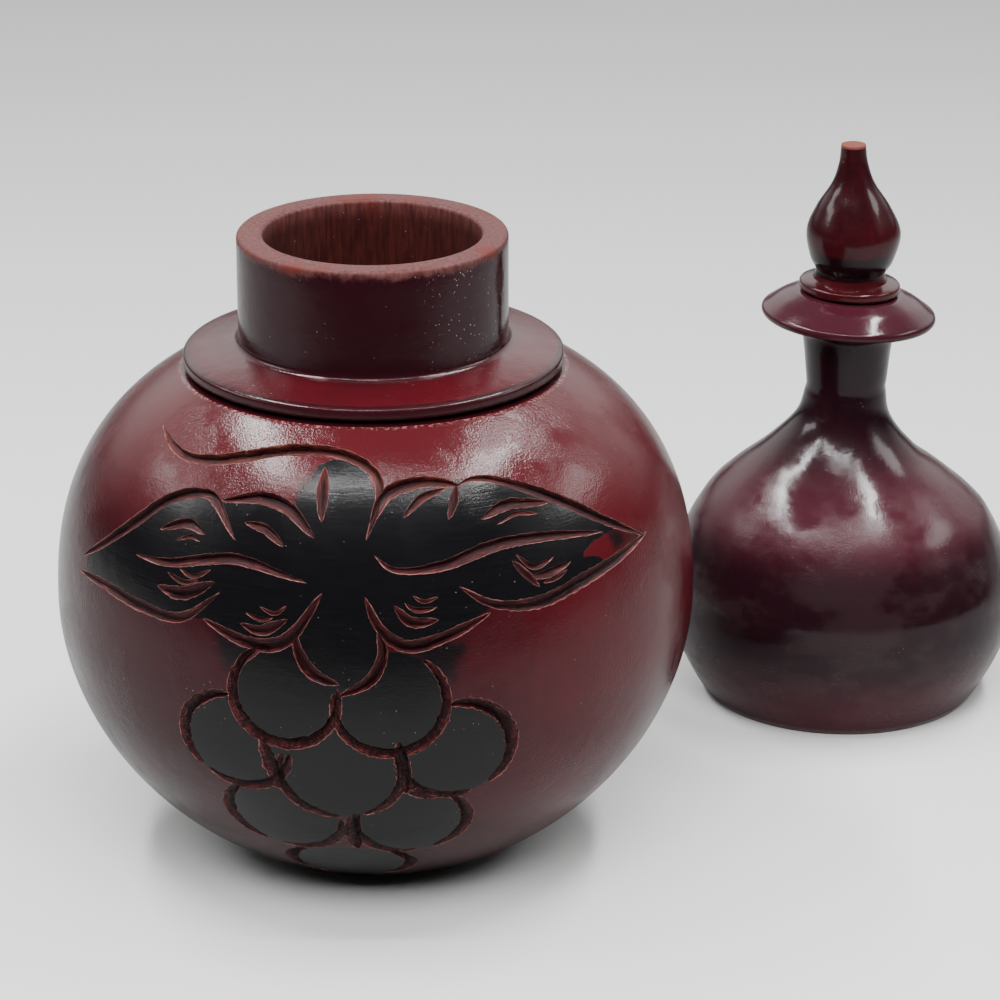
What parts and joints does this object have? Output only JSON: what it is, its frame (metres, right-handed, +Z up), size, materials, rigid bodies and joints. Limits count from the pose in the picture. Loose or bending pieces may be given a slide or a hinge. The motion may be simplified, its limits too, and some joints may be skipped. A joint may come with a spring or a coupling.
{
  "type": "carved wooden gourd bottle",
  "caption": "Lacquered double-gourd bottle taken apart: a round jar carved with grapes and vine leaves, and a smaller hollow bulb with a neck, lip and stopper.",
  "frame": {"origin": "middle of the lower bulb's foot", "axes": "+Z up, -Y towards the carved front of the lower bulb, +X to the right towards the upper bulb, which stands behind on the right"},
  "size_m": [0.1584, 0.1386, 0.0999],
  "materials": {
    "carved_lacquer": "gloss cherry lacquer, black paint and raw grooves on the carving",
    "dark_lacquer": "gloss dark cherry lacquer",
    "stopper_lacquer": "gloss cherry lacquer, bare end grain on the tip"
  },
  "bodies": {
    "root": {"lower_bulb": "carved_lacquer", "upper_bulb": "dark_lacquer", "stopper": "stopper_lacquer"}
  },
  "joints": []
}
